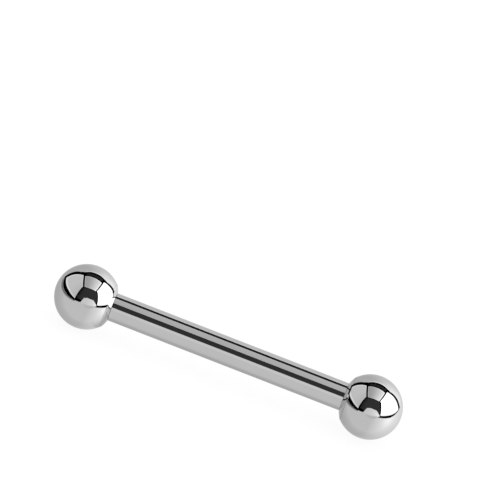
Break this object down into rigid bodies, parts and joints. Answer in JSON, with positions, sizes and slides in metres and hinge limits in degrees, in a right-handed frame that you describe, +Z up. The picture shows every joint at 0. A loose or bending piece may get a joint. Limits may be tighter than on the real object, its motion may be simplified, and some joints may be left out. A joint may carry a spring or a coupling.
{
  "type": "piercing barbell",
  "caption": "Straight piercing barbell: a polished steel bar with a short threaded stub on each end and a drilled, flat-seated ball screwed onto each stub.",
  "frame": {"origin": "on the surface that the barbell lies on, under the middle of the bar", "axes": "+X along the bar towards the right ball, +Z up from the surface that it lies on"},
  "size_m": [0.0268, 0.0048, 0.0048],
  "materials": {
    "bar_steel": "polished along its length, faint fine lines",
    "ball_steel": "mirror polished, faint fine scratches"
  },
  "bodies": {
    "bar": {"bar": "bar_steel"},
    "ball_left": {"ball_left": "ball_steel"},
    "ball_right": {"ball_right": "ball_steel"}
  },
  "joints": [
    {"name": "ball_left_unscrew", "type": "slide", "parent": "bar", "child": "ball_left", "axis": [-1, 0, 0], "range_m": [0, 0.004]},
    {"name": "ball_right_unscrew", "type": "slide", "parent": "bar", "child": "ball_right", "axis": [1, 0, 0], "range_m": [0, 0.004]}
  ]
}
